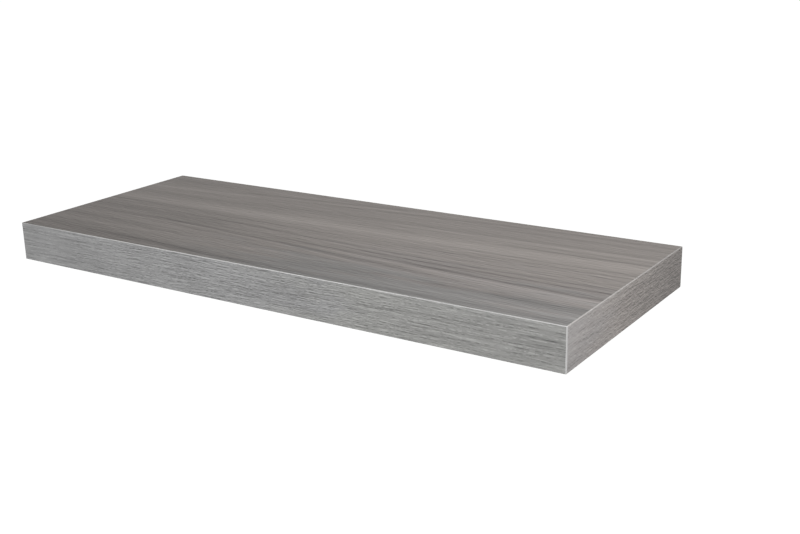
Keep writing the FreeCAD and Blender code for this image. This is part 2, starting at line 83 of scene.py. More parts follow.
# Points run from the left end, and from the back edge towards the front one
TOP_STREAKS = (
    Streak(((0, 0.41), (0.3, 0.405), (0.5, 0.39), (0.75, 0.375), (1, 0.355)), 0.045, 0.09),
    Streak(((0, 0.56), (0.15, 0.57), (0.35, 0.58)), 0.04, -0.05),
    Streak(((0, 0.3), (0.15, 0.305), (0.4, 0.29)), 0.03, -0.04),
    Streak(((0, 0.71), (0.12, 0.715), (0.3, 0.73)), 0.02, 0.05),
    Streak(((0, 0.475), (0.25, 0.48), (0.4, 0.5), (0.58, 0.53)), 0.018, -0.05),
    Streak(((0.45, 0.435), (0.6, 0.432), (0.8, 0.428), (1, 0.422)), 0.01, -0.07),
    Streak(((0.62, 0.503), (0.8, 0.501), (1, 0.5)), 0.008, -0.08),
    Streak(((0.72, 0.463), (0.85, 0.467), (1, 0.465)), 0.009, -0.06),
    Streak(((0.68, 0.448), (0.85, 0.446), (1, 0.443)), 0.006, 0.06),
    Streak(((0.25, 0.525), (0.4, 0.543), (0.55, 0.563), (0.7, 0.573), (1, 0.577)), 0.011, 0.05),
    Streak(((0.22, 0.545), (0.4, 0.568), (0.5, 0.585), (0.7, 0.605), (1, 0.61)), 0.01, -0.1),
    Streak(((0.48, 0.602), (0.6, 0.613), (0.8, 0.624), (1, 0.63)), 0.006, 0.08),
    Streak(((0.5, 0.618), (0.6, 0.632), (0.7, 0.644), (0.85, 0.652), (1, 0.655)), 0.008, -0.16),
    Streak(((0.55, 0.648), (0.65, 0.661), (0.8, 0.672), (1, 0.68)), 0.006, 0.05),
    Streak(((0.38, 0.64), (0.5, 0.655), (0.6, 0.67), (0.7, 0.685), (0.84, 0.692)), 0.008, -0.15),
    Streak(((0.66, 0.693), (0.8, 0.703), (0.9, 0.713), (1, 0.722)), 0.009, -0.12),
    Streak(((0.48, 0.683), (0.6, 0.7), (0.7, 0.715), (0.85, 0.735), (1, 0.75)), 0.01, 0.09),
    Streak(((0.68, 0.725), (0.85, 0.752), (1, 0.77)), 0.026, 0.07),
    Streak(
        ((0.1, 0.63), (0.25, 0.66), (0.4, 0.69), (0.55, 0.72), (0.7, 0.755), (0.88, 0.795)),
        0.009,
        -0.12,
    ),
    Streak(
        ((0.13, 0.65), (0.3, 0.688), (0.45, 0.715), (0.55, 0.745), (0.66, 0.78), (0.8, 0.8)),
        0.008,
        0.09,
    ),
    Streak(((0.37, 0.76), (0.48, 0.772), (0.58, 0.782), (0.65, 0.802)), 0.006, -0.07),
    Streak(((0.36, 0.795), (0.46, 0.797), (0.58, 0.8)), 0.006, -0.05),
    Streak(((0, 0.83), (0.25, 0.83), (0.5, 0.82), (0.62, 0.83)), 0.02, 0.06),
    Streak(((0, 0.755), (0.1, 0.757), (0.24, 0.775)), 0.016, -0.05),
    Streak(((0, 0.21), (0.13, 0.19), (0.27, 0.165)), 0.018, 0.07),
    Streak(((0.5, 0.255), (0.7, 0.245), (0.85, 0.235), (1, 0.226)), 0.01, 0.1),
    Streak(((0.78, 0.265), (0.9, 0.26), (1, 0.252)), 0.006, -0.07),
    Streak(((0.74, 0.312), (0.85, 0.304), (1, 0.295)), 0.01, -0.16),
    Streak(((0.42, 0.332), (0.52, 0.328), (0.64, 0.32)), 0.007, -0.05),
    Streak(((0.14, 0.145), (0.33, 0.1), (0.47, 0.06), (0.6, 0.035)), 0.014, -0.11),
    Streak(((0.28, 0.155), (0.5, 0.11), (0.6, 0.085), (0.75, 0.06), (1, 0.05)), 0.012, -0.11),
    Streak(((0.36, 0.12), (0.48, 0.085), (0.6, 0.06)), 0.008, 0.05),
    Streak(((0.68, 0.118), (0.85, 0.115), (1, 0.112)), 0.012, -0.09),
    Streak(((0.19, 0.265), (0.4, 0.238), (0.6, 0.222), (0.8, 0.205), (1, 0.195)), 0.026, -0.07),
    Streak(
        ((0.05, 0.945), (0.2, 0.935), (0.36, 0.955), (0.5, 0.968), (0.8, 0.975), (1, 0.97)),
        0.016,
        -0.11,
    ),
    Streak(((0.5, 0.9), (0.6, 0.872), (0.72, 0.85)), 0.022, -0.05),
    Streak(((0.72, 0.838), (0.85, 0.845), (1, 0.85)), 0.026, -0.08),
    Streak(((0.84, 0.82), (0.92, 0.845), (1, 0.85)), 0.035, -0.06),
    Streak(((0.55, 0.922), (0.75, 0.92), (1, 0.925)), 0.012, 0.06),
)

# Points run from the left end, and from the top edge down
FRONT_STREAKS = (
    Streak(((0, 0.16), (0.05, 0.17), (0.1, 0.18)), 0.05, -0.1),
    Streak(((0.08, 0.22), (0.14, 0.22), (0.21, 0.21)), 0.035, -0.1),
    Streak(((0.09, 0.75), (0.12, 0.74), (0.15, 0.75)), 0.04, -0.12),
    Streak(((0.33, 0.34), (0.38, 0.33), (0.43, 0.32)), 0.03, -0.13),
    Streak(((0.5, 0.77), (0.55, 0.76), (0.63, 0.78)), 0.03, -0.15),
    Streak(((0.57, 0.43), (0.6, 0.42), (0.63, 0.44)), 0.03, -0.13),
    Streak(((0.68, 0.38), (0.76, 0.36), (0.83, 0.32), (0.92, 0.37)), 0.025, -0.21),
    Streak(((0.74, 0.57), (0.8, 0.57), (0.92, 0.6)), 0.03, -0.12),
    Streak(((0.93, 0.39), (0.95, 0.35), (0.975, 0.35), (1, 0.39)), 0.025, -0.18),
    Streak(((0.8, 0.76), (0.86, 0.75), (0.95, 0.78), (1, 0.77)), 0.025, -0.12),
    Streak(((0.84, 0.17), (0.92, 0.18), (1, 0.17)), 0.025, -0.12),
    Streak(((0.92, 0.26), (0.95, 0.25), (0.98, 0.26)), 0.02, 0.14),
    Streak(((0.84, 0.68), (0.88, 0.67), (0.94, 0.69)), 0.02, 0.14),
    Streak(((0.54, 0.5), (0.625, 0.5), (0.71, 0.5)), 0.14, -0.07),
    Streak(((0.86, 0.5), (0.93, 0.5), (1, 0.5)), 0.14, -0.06),
    Streak(((0.41, 0.86), (0.5, 0.85), (0.59, 0.85)), 0.14, 0.08),
    Streak(((0.77, 0.12), (0.88, 0.12), (1, 0.12)), 0.12, 0.04),
)

# Points run from the front corner to the back, and from the top edge down
END_STREAKS = (
    Streak(((0.42, 0.28), (0.6, 0.26), (0.76, 0.29)), 0.03, -0.13),
    Streak(((0.8, 0.28), (0.9, 0.33), (1, 0.35)), 0.03, -0.12),
    Streak(((0.26, 0.47), (0.34, 0.44), (0.42, 0.45)), 0.03, -0.1),
    Streak(((0.44, 0.81), (0.6, 0.79), (0.75, 0.8), (1, 0.84)), 0.03, -0.12),
    Streak(((0, 0.88), (0.08, 0.88), (0.17, 0.9)), 0.035, -0.11),
    Streak(((0.32, 0.52), (0.38, 0.51), (0.44, 0.54)), 0.025, 0.08),
    Streak(((0.55, 0.1), (0.65, 0.11), (0.72, 0.14)), 0.025, 0.1),
    Streak(((0.45, 0.58), (0.7, 0.57), (1, 0.55)), 0.22, -0.045),
    Streak(((0, 0.55), (0.1, 0.55), (0.2, 0.55)), 0.2, 0.04),
)


# Each end of a streak fades over this share of its length
STREAK_FADE_SHARE = 0.22

# Most of a grain's noise lies within this much of zero
GRAIN_REACH = 0.14


class Shader:
    """The node tree of a material or of the world, built by short calls that return sockets."""

    def __init__(self, block, output="ShaderNodeOutputMaterial"):
        self.block = block
        self.block.use_nodes = True
        self.tree = self.block.node_tree
        self.tree.nodes.clear()
        self.output = self.tree.nodes.new(output)

    def set_input(self, socket, given):
        """Link a socket, or set its value. Colours are given as red, green and blue."""
        if isinstance(given, bpy.types.NodeSocket):
            self.tree.links.new(given, socket)
        elif given is not None:
            socket.default_value = (*given, 1.0) if socket.type == "RGBA" else given

    def node(self, kind, inputs=None, **settings):
        """A node with its settings and inputs given."""
        made = self.tree.nodes.new(kind)
        for name, setting in settings.items():
            setattr(made, name, setting)
        for name, given in (inputs or {}).items():
            self.set_input(made.inputs[name], given)
        return made

    def calc(self, operation, first, second=None):
        """The result of one Math node."""
        made = self.tree.nodes.new("ShaderNodeMath")
        made.operation = operation
        for socket, given in zip(made.inputs, (first, second)):
            self.set_input(socket, given)
        return made.outputs[0]

    def add(self, *values):
        """The sum of values."""
        total = values[0]
        for value in values[1:]:
            total = self.calc("ADD", total, value)
        return total

    def scale(self, value, factor):
        """A value times a factor."""
        return self.calc("MULTIPLY", value, factor)

    def vector(self, x, y, z=0.0):
        """Three values as one vector."""
        return self.node("ShaderNodeCombineXYZ", {"X": x, "Y": y, "Z": z}).outputs[0]

    def split(self, vector):
        """A vector's three values."""
        return self.node("ShaderNodeSeparateXYZ", {0: vector}).outputs[:3]

    def place(self):
        """The point's own coordinates in its piece, which ride with it."""
        return self.split(self.node("ShaderNodeTexCoord").outputs["Object"])

    def facing(self):
        """The surface's direction at the point, in the piece's own coordinates."""
        normal = self.node("ShaderNodeNewGeometry").outputs["True Normal"]
        settings = {"vector_type": "NORMAL", "convert_from": "WORLD", "convert_to": "OBJECT"}
        turned = self.node("ShaderNodeVectorTransform", {0: normal}, **settings)
        return self.split(turned.outputs[0])

    def ease(self, value, low, high, to_low=0.0, to_high=1.0):
        """A smooth step from one value to another between two limits."""
        given = {"Value": value, "From Min": low, "From Max": high}
        given.update({"To Min": to_low, "To Max": to_high})
        made = self.node("ShaderNodeMapRange", given, interpolation_type="SMOOTHSTEP")
        return made.outputs["Result"]

    def noise(self, vector, detail=2.0, roughness=0.5):
        """Smooth noise about zero, mostly within a quarter each way."""
        given = {"Vector": vector, "Scale": 1.0, "Detail": detail, "Roughness": roughness}
        made = self.node("ShaderNodeTexNoise", given)
        return self.calc("SUBTRACT", made.outputs["Fac"], 0.5)

    def lumps(self, place, rates, detail=2.0, roughness=0.5):
        """Noise all through a piece, with as many lumps per metre along X, Y and Z as rates say."""
        spot = self.vector(*(self.scale(value, rate) for value, rate in zip(place, rates)))
        return self.noise(spot, detail, roughness)

    def drift(self, along, across, along_rate, across_rate, strength):
        """Noise over a face, with a rate of swings for each direction and a strength."""
        spot = self.vector(self.scale(along, along_rate), self.scale(across, across_rate))
        return self.scale(self.noise(spot), strength)

    def grain(self, along, across, length, width, seed, detail=2.0):
        """Noise drawn out along the grain. Length and width are in the units of each direction."""
        return self.noise(
            self.vector(self.scale(along, 1 / length), self.scale(across, 1 / width), seed),
            detail,
        )

    def ripple(self, along, across, length, width, seed):
        """Grain without its broad bands: flecks less the ones that lie a fleck's width away."""
        here = self.grain(along, across, length, width, seed)
        beside = self.grain(along, self.add(across, width), length, width, seed)
        return self.calc("SUBTRACT", here, beside)

    def breaks(self, grain, least, most):
        """A factor that follows the grain from least to most, to break up longer marks."""
        return self.ease(grain, -GRAIN_REACH, GRAIN_REACH, least, most)

    def curve(self, value, points):
        """A smooth curve through given points, for values from 0 to 1."""
        made = self.node("ShaderNodeFloatCurve", {"Value": value})
        line = made.mapping.curves[0]
        while len(line.points) < len(points):
            line.points.new(0.5, 0.5)
        for point, (across, up) in zip(line.points, points):
            point.location = (across, up)
        made.mapping.extend = "HORIZONTAL"
        made.mapping.update()
        return made.outputs[0]

    def streak(self, along, across, given):
        """The tone that one streak adds."""
        offset = self.calc("SUBTRACT", across, self.curve(along, given.line))
        away = self.scale(offset, 1 / given.half_width)
        bell = self.calc("EXPONENT", self.scale(self.scale(away, away), -1.0))
        tone = self.scale(bell, given.tone)
        start, end = given.line[0][0], given.line[-1][0]
        fade = STREAK_FADE_SHARE * (end - start)
        if start > 0:
            tone = self.scale(tone, self.ease(along, start, start + fade))
        if end < 1:
            tone = self.scale(tone, self.ease(along, end, end - fade))
        return tone

    def tint(self, colour, factor):
        """A colour made lighter or darker by a factor."""
        made = self.node("ShaderNodeVectorMath", {0: colour}, operation="SCALE")
        self.set_input(made.inputs["Scale"], factor)
        return made.outputs[0]

    def mix(self, share, first, second):
        """A blend of two colours."""
        # The Mix node's colours are its inputs 6 and 7, and its output 2
        made = self.node("ShaderNodeMix", {0: share, 6: first, 7: second}, data_type="RGBA")
        return made.outputs[2]

    def bump(self, height, depth):
        """A normal tilted by a height. Depth is the height's unit in metres."""
        return self.node("ShaderNodeBump", {"Height": height, "Distance": depth}).outputs[0]

    def show(self, surface):
        """Link a surface to the output, and return the finished material or world."""
        self.tree.links.new(surface, self.output.inputs["Surface"])
        return self.block

    def finish(self, colour, roughness, normal, constants):
        """A Principled surface, with its constants set on its own sockets."""
        shader = self.node("ShaderNodeBsdfPrincipled")
        self.set_input(shader.inputs["Base Color"], colour)
        self.set_input(shader.inputs["Roughness"], roughness)
        self.set_input(shader.inputs["Normal"], normal)
        for name, constant in constants.items():
            shader.inputs[name].default_value = constant
        return self.show(shader.outputs[0])


def material_shader(name):
    """The shader of a new material."""
    return Shader(bpy.data.materials.new(name))


def dress(material, *names):
    """Give CAD nodes a material in place of their plain one."""
    for name in names:
        mesh = NODES[name].data
        mesh.materials.clear()
        mesh.materials.append(material)


def from_left(s, x):
    """The share of the shelf's length that lies to the left of a point."""
    return s.add(s.scale(x, 1 / BOARD_LENGTH), 0.5)


# The printed decor's emboss and faint shine, on the sheets and on the bands
EMBOSS_DEPTH = 0.00005
DECOR_SHINE = {"Specular IOR Level": 0.1}

# The sheet's main grey, and the greys that it turns to towards its front edge
WARM_GREY = (0.2415, 0.2215, 0.2077)
ROSE_GREY = (0.2398, 0.2215, 0.2118)
COOL_GREY = (0.222, 0.2165, 0.2112)


def laminate_figure(s, along, across, loose, flow):
    """The tones of the printed grain: listed streaks, and bands and lines that flow along."""
    streaks = s.add(*(s.streak(along, loose, each) for each in TOP_STREAKS))
    streaks = s.scale(streaks, s.add(s.drift(along, flow, 16.0, 60.0, strength=1.6), 1.6))

    clouds = s.scale(s.grain(along, flow, length=0.5, width=0.16, seed=3.1), 0.19)
    bands = s.grain(along, flow, length=0.4, width=0.03, seed=7.7)
    bands = s.scale(bands, s.ease(along, 0.0, 0.6, 0.33, 0.23))

    # Thin lines show more where the grain fans out
    fan = s.scale(s.ease(across, 0.44, 0.54), s.ease(across, 0.78, 0.7))
    fan = s.scale(fan, s.ease(along, 0.15, 0.6, 0.3, 1.0))
    lines = s.grain(along, flow, length=0.2, width=0.009, seed=1.3)
    lines = s.scale(lines, s.add(s.ease(along, 0.0, 0.6, 0.38, 0.3), s.scale(fan, 0.15)))

    breaks = s.grain(along, flow, length=0.012, width=0.014, seed=15.1)
    fine = s.ripple(along, flow, length=0.035, width=0.0055, seed=5.9)
    fine = s.scale(fine, s.breaks(breaks, least=0.7, most=1.3))
    fine = s.scale(fine, s.ease(along, 0.0, 0.8, 0.85, 0.88))
    figure = s.add(streaks, clouds, bands, lines, fine)
    return s.scale(figure, s.ease(along, 0.3, 0.9, 1.17, 1.02))


def painted_laminate_shade(s, along, across):
    """Painted shade of the light's falloff: darker towards the front and the left end, less so at
    the front right.
    """
    to_front = s.ease(across, 0.3, 0.9, -0.03, -0.225)
    to_left = s.ease(along, 0.0, 0.5, -0.1, 0.0)
    front_right = s.scale(s.ease(across, 0.65, 0.92), s.ease(along, 0.6, 1.0, 0.0, 0.115))
    front_left = s.scale(s.ease(across, 0.86, 0.96), s.ease(along, 0.2, 0.65, -0.08, 0.0))
    return s.add(to_front, to_left, front_right, front_left)


def laminate_colour(s, along, across, flow):
    """Warm grey that turns rosy and then cool towards the front, but not at the left end."""
    patches = s.scale(s.grain(along, flow, length=0.12, width=0.035, seed=2.6), 0.7)
    patchy = s.add(across, patches)
    rosy = s.scale(s.ease(patchy, 0.48, 0.72), s.ease(along, 0.45, 0.75))
    cool = s.scale(s.ease(patchy, 0.68, 0.98), s.ease(along, 0.2, 0.6))
    return s.mix(cool, s.mix(rosy, WARM_GREY, ROSE_GREY), COOL_GREY)


def decor_laminate(name, mirrored=False):
    """The printed grey oak sheet: broad soft streaks, fine grain and a light emboss, under painted
    shade.
    """
    s = material_shader(name)
    x, y, _ = s.place()
    along = from_left(s, x)
    if mirrored:
        along = s.calc("SUBTRACT", 1.0, along)
    across = s.scale(s.calc("SUBTRACT", HIGH[1], y), 1 / BOARD_DEPTH)

    wander = s.drift(along, across, 7.0, 4.0, strength=0.006)
    tremble = s.drift(along, across, 34.0, 40.0, strength=0.002)
    loose = s.add(across, wander, tremble)

    # The grain fans out from the middle of the left end
    spread = s.calc("TANH", s.scale(s.calc("SUBTRACT", 0.5, across), 5.0))
    flow = s.add(loose, s.scale(s.scale(along, spread), 0.065))

    figure = laminate_figure(s, along, across, loose, flow)
    light = s.add(1.0, figure, painted_laminate_shade(s, along, across))
    colour = s.tint(laminate_colour(s, along, across, flow), light)
    pores = s.grain(along, across, length=0.028, width=0.003, seed=9.4, detail=3.0)
    rough = s.add(0.55, s.scale(pores, 0.12))
    return s.finish(colour, rough, s.bump(pores, EMBOSS_DEPTH), DECOR_SHINE)


# Each band's warmer and cooler grey, and the plain core at its cut edges
FRONT_BAND_GREYS = ((0.3055, 0.3055, 0.296), (0.3055, 0.3055, 0.3055))
# Painted shade: the end bands' greys are darker than the front band's, and warmer
SHADED_END_BAND_GREYS = ((0.298, 0.2745, 0.26), (0.288, 0.2745, 0.2695))
FRONT_CORE_GREY = (0.46, 0.458, 0.453)
# Painted shade: the end bands' core is a darker copy of the front band's core
SHADED_END_CORE_GREY = (0.389, 0.373, 0.362)

# The most that flecks lighten or darken a band
FLECK_LIMIT = 0.4

# The fall of the end bands' crossing flecks, in heights of the band per metre
CROSSING_SLOPE = 16.0


class BandLook(NamedTuple):
    """What sets one kind of edge band apart. A socket holds a value that varies over it."""

    # How far along the band, as a share of its length and in metres
    along: bpy.types.NodeSocket
    metres: bpy.types.NodeSocket
    # The normal's part straight out of the band, of either sign, which is less at its cut edges
    outward: bpy.types.NodeSocket
    # The grain's rise in heights of the band per metre, and a number for a noise of its own
    slope: float
    seed: float
    streaks: tuple
    greys: tuple
    # Between these shares of its length, the band turns from its cooler grey to its warmer one
    warming_shares: tuple
    # Painted shade over the band's face
    shade: bpy.types.NodeSocket
    core_grey: tuple
    # Changes to the cut core's grey: on the end bands painted shade towards the wall, and on the
    # front band darker ends and a painted highlight on the right corner
    core_shade_and_highlight: bpy.types.NodeSocket
    fleck_length: float
    dash_length: float
    # How strongly the short flecks, the longer dashes and the broad grain show
    short: bpy.types.NodeSocket
    long: bpy.types.NodeSocket
    broad: bpy.types.NodeSocket
    # The tone of flecks that cross the others at a slant, if the band has any
    crossing: bpy.types.NodeSocket = None


def front_band_look(s, x, _, facing, down):
    """The long band, whose flecks are strongest in its middle."""
    along = from_left(s, x)
    # Painted highlight: the core on the chamfer that faces the right end is lighter, more so
    # towards the bottom
    corner = s.scale(s.ease(facing[0], 0.3, 0.6), s.ease(down, 0.3, 0.8, 0.11, 0.18))
    core_left = s.ease(along, 0.0, 0.25, -0.22, 0.1)
    core_right = s.ease(along, 0.55, 0.95, 0.0, -0.26)
    return BandLook(
        along=along,
        metres=s.scale(along, BOARD_LENGTH),
        outward=facing[1],
        slope=0.1,
        seed=0.0,
        streaks=FRONT_STREAKS,
        greys=FRONT_BAND_GREYS,
        warming_shares=(0.48, 0.7),
        # Painted shade towards the right end
        shade=s.ease(along, 0.65, 1.0, 0.0, -0.12),
        core_grey=FRONT_CORE_GREY,
        core_shade_and_highlight=s.add(core_left, core_right, corner),
        fleck_length=0.017,
        dash_length=0.04,
        short=s.add(s.ease(along, 0.0, 0.4, 0.2, 1.95), s.ease(along, 0.55, 0.95, 0.0, -1.45)),
        long=s.ease(along, 0.0, 0.5, 0.52, 0.6),
        broad=s.ease(along, 0.0, 0.5, 2.8, 2.1),
    )


def end_band_look(s, _, y, facing, down):
    """The short bands, with painted shade that darkens them towards the wall and their bottom, as
    their flecks grow stronger.
    """
    along = s.scale(s.calc("SUBTRACT", y, LOW[1]), 1 / BOARD_DEPTH)
    metres = s.scale(along, BOARD_DEPTH)
    slanted = s.calc("SUBTRACT", down, s.scale(metres, CROSSING_SLOPE))
    crossing = s.ripple(metres, slanted, length=0.012, width=0.045, seed=5.2)
    return BandLook(
        along=along,
        metres=metres,
        outward=facing[0],
        slope=-0.7,
        seed=4.0,
        streaks=END_STREAKS,
        greys=SHADED_END_BAND_GREYS,
        warming_shares=(0.05, 0.5),
        # Painted shade: darker towards the wall and towards the bottom
        shade=s.add(s.ease(along, 0.0, 1.0, 0.165, -0.14), s.ease(down, 0.0, 1.0, 0.045, -0.05)),
        core_grey=SHADED_END_CORE_GREY,
        # Painted shade on the core, darker towards the wall
        core_shade_and_highlight=s.ease(along, 0.3, 1.0, 0.0, -0.09),
        fleck_length=0.0085,
        dash_length=0.023,
        short=s.ease(along, 0.0, 0.6, 0.25, 2.7),
        long=s.ease(along, 0.0, 0.6, 0.55, 1.3),
        broad=s.ease(along, 0.5, 1.0, 2.1, 1.9),
        crossing=s.scale(crossing, 0.28),
    )


def band_tones(s, look, down, loose, flow):
    """A band's tones without its flecks: its painted shade, listed streaks, and broad grain."""
    streaks = s.add(*(s.streak(look.along, loose, each) for each in look.streaks))
    uneven = s.add(s.drift(look.metres, down, 90.0, 20.0, strength=2.0), 1.0)
    streaks = s.scale(streaks, uneven)
    clouds = s.grain(look.metres, flow, length=0.06, width=0.5, seed=look.seed + 2.3)
    lines = s.grain(look.metres, flow, length=0.04, width=0.06, seed=look.seed + 6.1)
    broad = s.add(s.scale(clouds, 0.14), s.scale(lines, 0.17))
    return s.add(1.0, look.shade, streaks, s.scale(broad, look.broad))


def decor_band(name, look_of):
    """The edge band: short fine flecks on its face, and a plain light core at its cut edges."""
    s = material_shader(name)
    x, y, z = s.place()
    down = s.calc("SUBTRACT", 0.5, s.scale(z, 1 / BOARD_THICKNESS))
    look = look_of(s, x, y, s.facing(), down)
    metres = look.metres
    seed = look.seed

    wander = s.drift(metres, down, 11.0, 1.2, strength=0.025)
    loose = s.add(down, s.scale(wander, 0.3))
    flow = s.add(down, wander, s.scale(metres, look.slope))

    breaks = s.grain(metres, flow, length=0.004, width=0.05, seed=seed + 13.3)
    breaks = s.breaks(breaks, least=-0.3, most=2.3)
    flecks = s.ripple(metres, flow, look.fleck_length, width=0.023, seed=seed + 8.8)
    flecks = s.scale(flecks, breaks)
    dashes = s.ripple(metres, flow, look.dash_length, width=0.038, seed=seed + 3.6)
    dashes = s.scale(dashes, breaks)
    marked = s.add(s.scale(flecks, look.short), s.scale(dashes, look.long))
    marked = s.scale(s.calc("TANH", s.scale(marked, 1 / FLECK_LIMIT)), FLECK_LIMIT)
    light = s.add(band_tones(s, look, down, loose, flow), marked)
    if look.crossing is not None:
        light = s.add(light, look.crossing)

    patches = s.scale(s.grain(metres, flow, length=0.05, width=0.45, seed=seed + 11.4), 0.4)
    cool = s.ease(s.add(look.along, patches), *look.warming_shares, 1.0, 0.0)
    face = s.tint(s.mix(cool, *look.greys), light)

    cut = s.ease(s.calc("ABSOLUTE", look.outward), 0.9, 0.98, 1.0, 0.0)
    wear = s.scale(s.grain(metres, down, length=0.01, width=0.2, seed=seed + 1.0), 0.15)
    core = s.tint(look.core_grey, s.add(1.0, wear, look.core_shade_and_highlight))
    colour = s.mix(cut, face, core)
    rough = s.add(0.5, s.scale(flecks, 0.3))
    return s.finish(colour, rough, s.bump(flecks, EMBOSS_DEPTH), DECOR_SHINE)


CHIP_TAN = (0.48, 0.37, 0.245)
CHIP_PALE = (0.62, 0.525, 0.39)
CHIP_BROWN = (0.26, 0.17, 0.1)
CHIP_SIZE = (0.0045, 0.003, 0.0012)


def chipboard():
    """Pressed wood chips: pale and brown flakes that lie flat, with small gaps between them,
    darkened by painted shade.
    """
    s = material_shader("chipboard")
    place = s.place()
    x, _, z = place
    spot = s.vector(*(s.scale(value, 1 / size) for value, size in zip(place, CHIP_SIZE)))
    warp = s.node("ShaderNodeTexNoise", {"Vector": spot, "Scale": 0.7, "Detail": 2.0}).outputs[1]
    spot = s.node("ShaderNodeVectorMath", {0: spot, 1: warp}, operation="ADD").outputs[0]
    flakes = s.node("ShaderNodeTexVoronoi", {"Vector": spot, "Scale": 1.0}).outputs
    red, green, _ = s.split(flakes["Color"])
    colour = s.mix(s.ease(red, 0.45, 0.95), CHIP_TAN, CHIP_PALE)
    colour = s.mix(s.ease(green, 0.7, 0.98), colour, CHIP_BROWN)
    fibre = s.grain(x, z, length=0.0025, width=0.00025, seed=2.2)
    # Painted shade: the sunken gaps between flakes are darkened
    gaps = s.ease(flakes["Distance"], 0.55, 0.9, 1.0, 0.62)
    colour = s.tint(colour, s.scale(gaps, s.add(1.0, s.scale(fibre, 0.5))))
    height = s.add(s.scale(flakes["Distance"], -1.0), fibre)
    return s.finish(colour, 0.85, s.bump(height, depth=0.0002), {"Specular IOR Level": 0.15})


FIBRE_BROWN = (0.4, 0.27, 0.155)

# A board's dark rind ends between these depths under its face
RIND_DEPTHS = (0.0003, 0.0011)


def fibreboard():
    """Dense brown fibreboard: fine matted fibres in thin layers, darker towards its faces."""
    s = material_shader("fibreboard")
    place = s.place()
    mat = s.lumps(place, (900.0, 900.0, 2600.0), detail=4.0, roughness=0.65)
    patch = s.lumps(place, (60.0, 60.0, 200.0))
    depth = s.calc("SUBTRACT", BOARD_THICKNESS / 2, s.calc("ABSOLUTE", place[2]))
    rind = s.ease(depth, *RIND_DEPTHS, 0.78, 1.0)
    light = s.add(1.0, s.scale(mat, 0.9), s.scale(patch, 0.3))
    colour = s.tint(FIBRE_BROWN, s.scale(rind, light))
    return s.finish(colour, 0.8, s.bump(mat, depth=0.0001), {"Specular IOR Level": 0.2})


KRAFT_BROWN = (0.45, 0.32, 0.19)
CREASE_PITCH = 0.0009


def honeycomb_paper():
    """Brown kraft paper with long fibres and a faint crease pattern."""
    s = material_shader("honeycomb_paper")
    place = s.place()
    fibres = s.lumps(place, (700.0, 700.0, 160.0), detail=4.0, roughness=0.6)
    patch = s.lumps(place, (45.0, 45.0, 45.0))
    ribs = s.calc("SINE", s.scale(place[2], 2 * math.pi / CREASE_PITCH))
    # Painted shade: the creases also lighten and darken the paper a little
    light = s.add(1.0, s.scale(fibres, 0.5), s.scale(patch, 0.4), s.scale(ribs, 0.02))
    height = s.add(fibres, s.scale(ribs, 0.2))
    colour = s.tint(KRAFT_BROWN, light)
    return s.finish(colour, 0.75, s.bump(height, depth=0.00006), {"Specular IOR Level": 0.2})


BARE_METAL = {"Metallic": 1.0}

ZINC_SILVER = (0.52, 0.54, 0.565)
ZINC_GREY = (0.4, 0.41, 0.43)


def zinc_plated_steel(name, across_axis):
    """Bright zinc plate over drawn steel: fine drawing lines and dull cloudy patches."""
    s = material_shader(name)
    place = s.place()
    x, y, z = place
    along, across = (x, z) if across_axis == "Z" else (y, s.add(x, z))
    drawn = s.grain(along, across, length=0.04, width=0.00025, seed=1.7)
    cloud = s.lumps(place, (110.0, 110.0, 110.0), detail=4.0, roughness=0.65)
    dull = s.ease(cloud, -0.16, 0.2)
    colour = s.tint(s.mix(dull, ZINC_SILVER, ZINC_GREY), s.add(1.0, s.scale(drawn, 0.35)))
    rough = s.add(0.27, s.scale(dull, 0.16), s.scale(drawn, 0.25))
    return s.finish(colour, rough, s.bump(drawn, depth=0.00002), BARE_METAL)


WIRE_GREY = (0.55, 0.55, 0.53)


def staple_wire():
    """Galvanised wire with fine dull streaks."""
    s = material_shader("staple_wire")
    spots = s.lumps(s.place(), (1500.0, 1500.0, 300.0), detail=3.0)
    colour = s.tint(WIRE_GREY, s.add(1.0, s.scale(spots, 0.6)))
    rough = s.add(0.4, s.scale(spots, 0.5))
    return s.finish(colour, rough, s.bump(spots, depth=0.00002), BARE_METAL)


# The threaded inserts and the locking screws, which fit inside their CAD nodes' space
THREAD_PITCH = 0.001
THREAD_DEPTH = 0.00045
THREAD_RINGS_PER_TURN = 10
RING_STEPS = 72
INSERT_LOW, INSERT_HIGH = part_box("right_threaded_insert")
INSERT_PLACE = (
    (INSERT_LOW[0] + INSERT_HIGH[0]) / 2,
    (INSERT_LOW[1] + INSERT_HIGH[1]) / 2,
)
INSERT_BARREL_RADIUS = 0.0045
INSERT_FLANGE_THICKNESS = 0.001
INSERT_BORE_RADIUS = 0.00305
INSERT_EDGE = 0.0003
WOOD_THREAD_PITCH = 0.002
WOOD_THREAD_DEPTH = 0.0007
SCREW_LOW, SCREW_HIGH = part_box("right_locking_screw")
SCREW_RADIUS = (SCREW_HIGH[0] - SCREW_LOW[0]) / 2
SCREW_BEVEL = 0.0008
SOCKET_WIDTH = 0.003
SOCKET_DEPTH = 0.0035
CUP_RADIUS = 0.0014
CUP_DEPTH = 0.0006

# The floor of the cup point, as a share of its mouth
CUP_FLOOR_SHARE = 0.25

# Above one, a thread's floor is flat: here for a fifth of its pitch
THREAD_STEEPNESS = 1.25

BRASS_YELLOW = (0.74, 0.57, 0.28)
BRASS_BROWN = (0.46, 0.31, 0.14)


